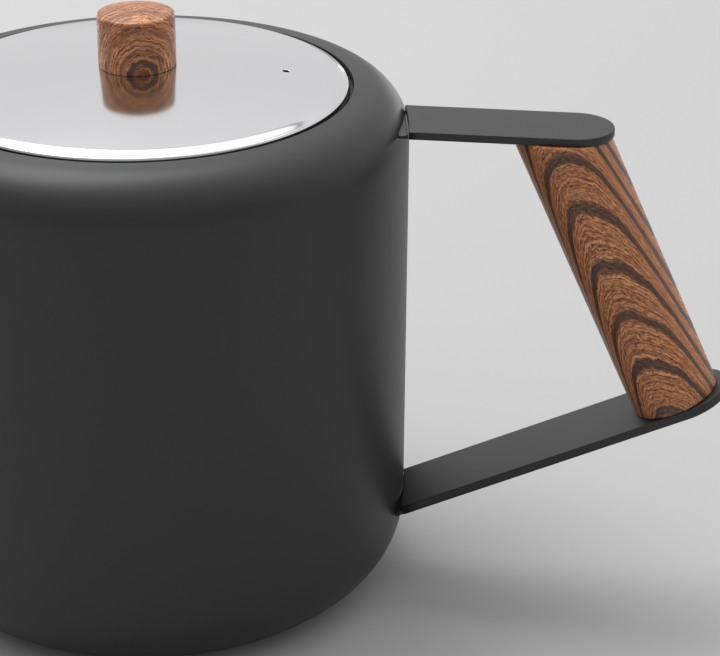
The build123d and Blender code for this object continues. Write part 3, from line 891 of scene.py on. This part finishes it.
class TEAPOT_OT_lid(bpy.types.Operator):
    """Polished lid plate: flat pad, shallow dome, rolled edge and a vent hole"""

    bl_idname = "teapot.lid"
    bl_label = "Lid"

    def execute(self, context):
        sizes = context.scene.teapot_lid
        low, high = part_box("lid_plate")
        radius, top, seat = high.y, high.z, low.z
        crease = radius - sizes.bevel
        crease_z = top - sizes.dome_rise
        edge_z = crease_z - sizes.edge_drop
        outer = self.upper(sizes, top, crease, crease_z, radius, edge_z)
        gauge = sizes.gauge
        skirt = np.array([[radius, edge_z - sizes.edge_round - 0.2 * MM], [radius, seat]])
        inner_edge = np.array([[radius - gauge, seat], [radius - gauge, edge_z - gauge]])
        under = (top - gauge, crease, crease_z - gauge, radius - gauge, edge_z - gauge)
        inner = self.upper(sizes, *under)[::-1]
        inner = inner[inner[:, 0] < crease]
        profile = np.concatenate([outer, self.run(skirt), self.run(inner_edge), inner])
        plate = lathe_piece("lid_polished", profile, 256)
        finish_piece(plate, once(polished_steel), "lid", "polished_steel", "lid_plate")
        self.open_vent(plate, sizes, top, seat)
        return {"FINISHED"}

    def run(self, ends, count=5):
        """Even points along a straight run."""
        return ends[0] + (ends[1] - ends[0]) * np.linspace(0, 1, count)[:, None]

    def upper(self, sizes, top, crease, crease_z, radius, edge_z):
        """Pad, then a dome, a roll and a quarter turn at the edge.

        The dome falls partly in step with the way out and partly as its square. The roll starts at the
        dome's slope and falls on as the square of the way across it.
        """
        pad = np.linspace(0, sizes.pad, 8)[:, None]
        out = np.linspace(0, 1, 72)[1:, None]
        reach = crease - sizes.pad
        fall = top - crease_z
        dome_r = sizes.pad + reach * out
        dome_z = top - fall * (sizes.dome_lean * out + (1 - sizes.dome_lean) * out**2)
        slope = fall / reach * (2 - sizes.dome_lean)
        roll = np.linspace(0, 1, 26)[1:, None]
        width = radius - sizes.edge_round - crease
        roll_r = crease + width * roll
        drop = crease_z - edge_z
        bend = slope * width
        roll_z = crease_z - bend * roll - (drop - bend) * roll**2
        turn = np.linspace(0, pi / 2, 8)[1:, None]
        edge_r = radius - sizes.edge_round * (1 - np.sin(turn))
        edge_down = edge_z - sizes.edge_round * (1 - np.cos(turn))
        r = np.concatenate([pad, dome_r, roll_r, edge_r])
        z = np.concatenate([np.full_like(pad, top), dome_z, roll_z, edge_down])
        return np.concatenate([r, z], -1)

    def open_vent(self, plate, sizes, top, seat):
        """Cuts the vent with a plain upright pin."""
        above = top + 1 * MM
        radius = sizes.vent_radius
        pin = rounded([(0, seat, 0), (radius, seat, 0), (radius, above, 0), (0, above, 0)])
        centre = np.array([cos(sizes.vent_angle), sin(sizes.vent_angle), 0]) * sizes.vent_distance
        ends = {"first_cap": centre + (0, 0, seat), "last_cap": centre + (0, 0, above)}
        cutter = grid_piece("vent_pin", lathe(pin[1:-1], 24) + centre, **ends)
        # The vent's wall gets steel darkened nearly to black, as painted shade inside the hole
        cut_out(plate, cutter, once(drilled_steel))


class TEAPOT_OT_knob(bpy.types.Operator):
    """Wooden knob: short cylinder with a rounded brow and a crowned top"""

    bl_idname = "teapot.knob"
    bl_label = "Knob"

    def execute(self, context):
        sizes = context.scene.teapot_lid
        low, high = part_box("knob")
        radius = high.y
        brow = high.z - sizes.knob_crown
        crown = np.linspace(1, 0, 24)[:, None]
        reach = radius - sizes.knob_round
        crown_z = brow + sizes.knob_crown * (1 - crown**2) * 0.92
        top = np.concatenate([reach * crown, crown_z], -1)
        foot = (radius, low.z, sizes.knob_foot_round)
        shoulder = (radius, brow, sizes.knob_round)
        corners = [(0, low.z, 0), foot, shoulder, (reach * 0.97, top[1, 1], 0)]
        side = rounded(corners, arc_points=12, run_points=10)
        profile = np.concatenate([side, top[2:]])
        piece = lathe_piece("knob_wood", profile, 160)
        place = ((0, 0, low.z), ((1, 0, 0), (0, -1, 0), (0, 0, -1)))
        bands = {"sway": 0.3, "period": 4.4, "start": 3.4, "strength": 0.4, "fineness": 1.8}
        grain = once(figured_wood, "knob_wood_grain", place, knot_figure, knot=KNOT_RING, **bands)
        finish_piece(piece, grain, "lid", "dark_wood", "knob")
        return {"FINISHED"}


class TEAPOT_OT_straps(bpy.types.Operator):
    """The two flat straps of the handle and the wedge-shaped pads that they are welded to"""

    bl_idname = "teapot.straps"
    bl_label = "Straps"

    def execute(self, context):
        sizes = context.scene.teapot_handle
        low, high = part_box("upper_strap")
        upper = ((0, 0, low.z), (1, 0, 0), (0, 1, 0), (0, 0, 1))
        heel = low.x + np.array([sizes.heel_front, sizes.heel_back])
        self.bar("upper", upper, heel, high.x, high.y, sizes.upper_gauge, sizes)

        low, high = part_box("lower_strap")
        grip = Grip()
        origin = grip.foot + grip.down * sizes.lower_gauge
        lower = (origin, grip.across, (0, 1, 0), -grip.down)
        lowest = grip.foot[0] + sizes.lower_gauge * sin(sizes.tilt)
        start = (low.x - grip.foot[0]) / cos(sizes.tilt)
        heel = start + np.array([sizes.lower_heel_front, sizes.lower_heel_back])
        end = (high.x - lowest) / cos(sizes.tilt)
        self.bar("lower", lower, heel, end, high.y, sizes.lower_gauge, sizes)
        return {"FINISHED"}

    def bar(self, name, place, heel, end, half, gauge, sizes):
        """A strap whose heel is cut aslant and hollowed, and the wedge-shaped pad between heel and shell.

        The heel is hollowed by 1 - (y / half the width)^2, which is nothing along the straight flanks.
        """
        turn = np.linspace(-pi / 2, pi / 2, 49)
        nose = np.stack([end - half + half * np.cos(turn), half * np.sin(turn)], -1)
        corners = np.array([nose[-1], [heel[1], half], [heel[0], -half], nose[0]])
        run = self.sides(corners, (18, 14, 18))[1:-1]
        run[:, 0] += sizes.heel_bulge * (1 - (run[:, 1] / half) ** 2)
        outline = np.concatenate([nose, run])
        grid = plate_grid(outline, gauge, sizes.strap_edge)
        strap = plate_piece(name + "_strap_bar", placed(grid, *place))
        finish_piece(strap, once(powder_coat), "pot", "powder_coat", name + "_strap")

        outer = heel - sizes.seam
        inner = heel - sizes.saddle_gauge - sizes.saddle_sink
        rim = half - sizes.saddle_side
        first = [outer[0], -rim]
        corners = np.array([first, [outer[1], rim], [inner[1], rim], [inner[0], -rim], first])
        outline = self.sides(corners, (14, 6, 14, 6))[:-1]
        grid = plate_grid(outline, gauge - sizes.saddle_inset, sizes.strap_edge)
        outward = (grid[..., 0] - grid[..., 0].min()) / np.ptp(grid[..., 0])
        grid[..., 2] *= sizes.saddle_thin + (1 - sizes.saddle_thin) * outward
        pad = plate_piece(name + "_saddle_pad", placed(grid, *place))
        finish_piece(pad, once(powder_coat), "pot", "powder_coat", name + "_saddle")

    def sides(self, corners, counts):
        """Even points from corner to corner."""
        runs = []
        for start, end, count in zip(corners, corners[1:], counts):
            runs.append(start + (end - start) * np.linspace(0, 1, count, endpoint=False)[:, None])
        return np.concatenate([*runs, corners[-1:]])


class Grip:
    """The grip's own axes: head at the upper strap, foot on the lower strap."""

    def __init__(self):
        tilt = bpy.context.scene.teapot_handle.tilt
        low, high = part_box("grip")
        self.radius = high.y
        self.down = np.array([sin(tilt), 0, -cos(tilt)])
        self.across = np.array([cos(tilt), 0, sin(tilt)])
        self.toward = np.array([0, -1, 0])
        self.top = high.z
        foot_z = low.z + self.radius * sin(tilt)
        foot_x = high.x - self.radius * cos(tilt)
        self.foot = np.array([foot_x, 0, foot_z])
        self.length = (self.top - foot_z) / cos(tilt)
        self.head = self.foot - self.down * self.length


class TEAPOT_OT_grip(bpy.types.Operator):
    """Slanted wooden grip, cut level at its head and square at its foot"""

    bl_idname = "teapot.grip"
    bl_label = "Grip"

    def execute(self, context):
        sizes = context.scene.teapot_handle
        grip = Grip()
        columns = 128
        turn = np.linspace(0, 2 * pi, columns, endpoint=False)
        edge = sizes.grip_edge
        around = np.cos(turn)[:, None] * grip.across + np.sin(turn)[:, None] * grip.toward
        start = around[:, 2] * grip.radius / cos(sizes.tilt)
        t = np.linspace(0, 1, 60)[:, None]
        along = start + (grip.length - edge - start) * t
        side = grip.head + along[..., None] * grip.down + around * grip.radius
        quarter = np.linspace(0, pi / 2, 8)[1:, None, None]
        foot = grip.head + (grip.length - edge + edge * np.sin(quarter)) * grip.down
        foot = foot + around * (grip.radius - edge * (1 - np.cos(quarter)))
        ring = foot[-1:] + (grip.foot - foot[-1:]) * np.linspace(0.05, 0.6, 3)[:, None, None]
        head_ring = side[:1] + (grip.head - side[:1]) * np.linspace(0.6, 0.03, 3)[:, None, None]
        grid = np.concatenate([head_ring, side, foot, ring])
        piece = grid_piece("grip_wood", grid, first_cap=grip.head, last_cap=grip.foot)
        place = (grip.head, (grip.across, grip.toward, grip.down))
        bands = {"sway": 1.0, "period": 14.6, "start": -0.6, "strength": 0.92}
        grain = once(figured_wood, "grip_wood_grain", place, arch_figure, **bands)
        finish_piece(piece, grain, "pot", "dark_wood", "grip")
        return {"FINISHED"}


class TEAPOT_OT_fittings(bpy.types.Operator):
    """Finishes of the vessel, the infuser, the skirt and the fixings, which keep the frame's shapes"""

    bl_idname = "teapot.fittings"
    bl_label = "Fittings"

    def execute(self, context):
        metals = (satin_steel, brass, powder_coat, polished_steel)
        makers = {maker.__name__: maker for maker in metals}
        slots = {part["node"]: part["material_slot"] for part in frame["record"]["subparts"]}
        for name, node in frame["nodes"].items():
            if slots[name] in makers:
                node.data.materials.clear()
                node.data.materials.append(once(makers[slots[name]]))
        return {"FINISHED"}


class TEAPOT_PT_sidebar(bpy.types.Panel):
    """Lists every operator, and the sizes and finishes that they read"""

    bl_label = "Strap-Handle Teapot"
    bl_idname = "TEAPOT_PT_sidebar"
    bl_space_type = "VIEW_3D"
    bl_region_type = "UI"
    bl_category = "Teapot"

    def draw(self, context):
        for operator in OPERATORS:
            self.layout.operator(operator.bl_idname)
        for group in ("teapot_pot", "teapot_lid", "teapot_handle", "teapot_finishes"):
            box = self.layout.box()
            owner = getattr(context.scene, group)
            for name in owner.__annotations__:
                box.prop(owner, name)


GROUPS = {
    "teapot_pot": TeapotPotSizes,
    "teapot_lid": TeapotLidSizes,
    "teapot_handle": TeapotHandleSizes,
    "teapot_finishes": TeapotFinishes,
}
OPERATORS = (
    TEAPOT_OT_studio,
    TEAPOT_OT_pot_body,
    TEAPOT_OT_spout,
    TEAPOT_OT_lid,
    TEAPOT_OT_knob,
    TEAPOT_OT_straps,
    TEAPOT_OT_grip,
    TEAPOT_OT_fittings,
)


def register():
    """Registers the groups, the operators and the panel."""
    for group in GROUPS.values():
        bpy.utils.register_class(group)
    for name, group in GROUPS.items():
        setattr(bpy.types.Scene, name, PointerProperty(type=group))
    for operator in OPERATORS:
        bpy.utils.register_class(operator)
    bpy.utils.register_class(TEAPOT_PT_sidebar)


def unregister():
    """Takes back all that register() did."""
    bpy.utils.unregister_class(TEAPOT_PT_sidebar)
    for operator in reversed(OPERATORS):
        bpy.utils.unregister_class(operator)
    for name, group in GROUPS.items():
        delattr(bpy.types.Scene, name)
        bpy.utils.unregister_class(group)


def main():
    """Builds everything."""
    register()
    bpy.ops.teapot.studio()
    bpy.ops.teapot.pot_body()
    bpy.ops.teapot.spout()
    bpy.ops.teapot.lid()
    bpy.ops.teapot.knob()
    bpy.ops.teapot.straps()
    bpy.ops.teapot.grip()
    bpy.ops.teapot.fittings()


if __name__ == "__main__":
    main()
